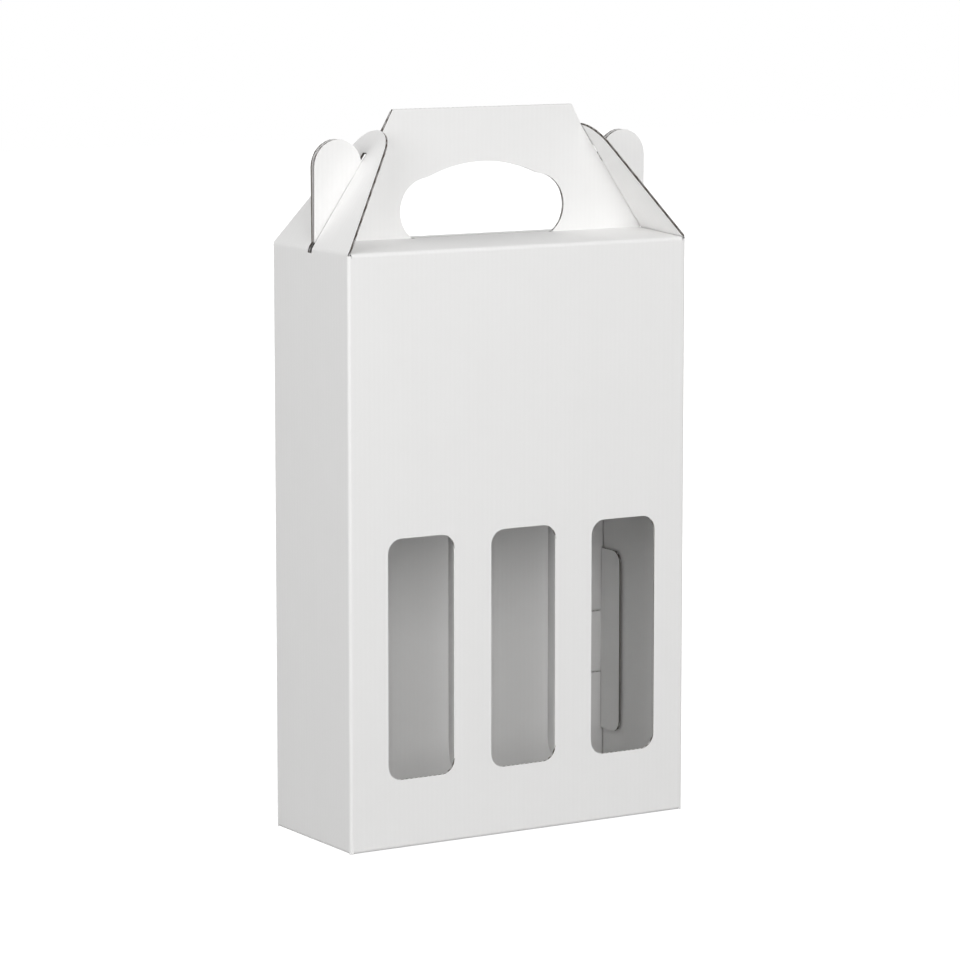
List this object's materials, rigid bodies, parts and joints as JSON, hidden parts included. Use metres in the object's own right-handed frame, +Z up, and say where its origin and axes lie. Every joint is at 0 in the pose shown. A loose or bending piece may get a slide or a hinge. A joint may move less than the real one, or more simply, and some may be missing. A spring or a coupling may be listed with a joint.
{
  "type": "gable box",
  "caption": "Upright white corrugated gable box for bottles, with front windows, folded-in dividers, a hand-hole handle and leaning end flaps locked on the handle's ears.",
  "frame": {"origin": "middle of the base, on the surface that the box stands on", "axes": "+Z up, +X to the right along the width, +Y to the rear, front with the windows at -Y"},
  "size_m": [0.234, 0.09, 0.4314],
  "materials": {
    "white_board": "white coated liner, matt, on micro-flute board"
  },
  "bodies": {
    "body": {"front_panel": "white_board", "rear_panel": "white_board", "left_side_panel": "white_board", "right_side_panel": "white_board", "seam_flap": "white_board", "seam_lock_tab": "white_board", "front_bottom_flap": "white_board", "left_bottom_flap": "white_board", "right_bottom_flap": "white_board", "rear_bottom_flap": "white_board"},
    "front_roof": {"front_roof_panel": "white_board"},
    "rear_roof": {"rear_roof_panel": "white_board"},
    "front_handle": {"front_handle_ply": "white_board"},
    "rear_handle": {"rear_handle_ply": "white_board"},
    "left_flap": {"left_end_flap": "white_board"},
    "right_flap": {"right_end_flap": "white_board"},
    "left_divider": {"left_divider_flap": "white_board"},
    "middle_divider": {"middle_divider_flap": "white_board"}
  },
  "joints": [
    {"name": "front_roof_fold", "type": "hinge", "parent": "body", "child": "front_roof", "pos_m": [0, -0.045, 0.352], "axis": [1, 0, 0], "range_deg": [0, 50]},
    {"name": "rear_roof_fold", "type": "hinge", "parent": "body", "child": "rear_roof", "pos_m": [0, 0.045, 0.352], "axis": [-1, 0, 0], "range_deg": [0, 50]},
    {"name": "front_handle_fold", "type": "hinge", "parent": "front_roof", "child": "front_handle", "pos_m": [0, -0.00015, 0.35369], "axis": [-1, 0, 0], "range_deg": [0, 50]},
    {"name": "rear_handle_fold", "type": "hinge", "parent": "rear_roof", "child": "rear_handle", "pos_m": [0, 0.00015, 0.35369], "axis": [1, 0, 0], "range_deg": [0, 50]},
    {"name": "left_flap_fold", "type": "hinge", "parent": "body", "child": "left_flap", "pos_m": [-0.117, 0, 0.352], "axis": [0, -1, 0], "range_deg": [0, 175]},
    {"name": "right_flap_fold", "type": "hinge", "parent": "body", "child": "right_flap", "pos_m": [0.117, 0, 0.352], "axis": [0, 1, 0], "range_deg": [0, 175]},
    {"name": "left_divider_fold", "type": "hinge", "parent": "body", "child": "left_divider", "pos_m": [-0.0465, -0.045, 0.1128], "axis": [0, 0, 1], "range_deg": [-8, 117]},
    {"name": "middle_divider_fold", "type": "hinge", "parent": "body", "child": "middle_divider", "pos_m": [0.0242, -0.045, 0.1128], "axis": [0, 0, 1], "range_deg": [-8, 117]}
  ],
  "couplings": [
    {"joint": "rear_roof_fold", "follows": "front_roof_fold", "ratio": 1},
    {"joint": "front_handle_fold", "follows": "front_roof_fold", "ratio": 1},
    {"joint": "rear_handle_fold", "follows": "front_roof_fold", "ratio": 1},
    {"joint": "left_flap_fold", "follows": "front_roof_fold", "ratio": 3.5},
    {"joint": "right_flap_fold", "follows": "front_roof_fold", "ratio": 3.5}
  ]
}
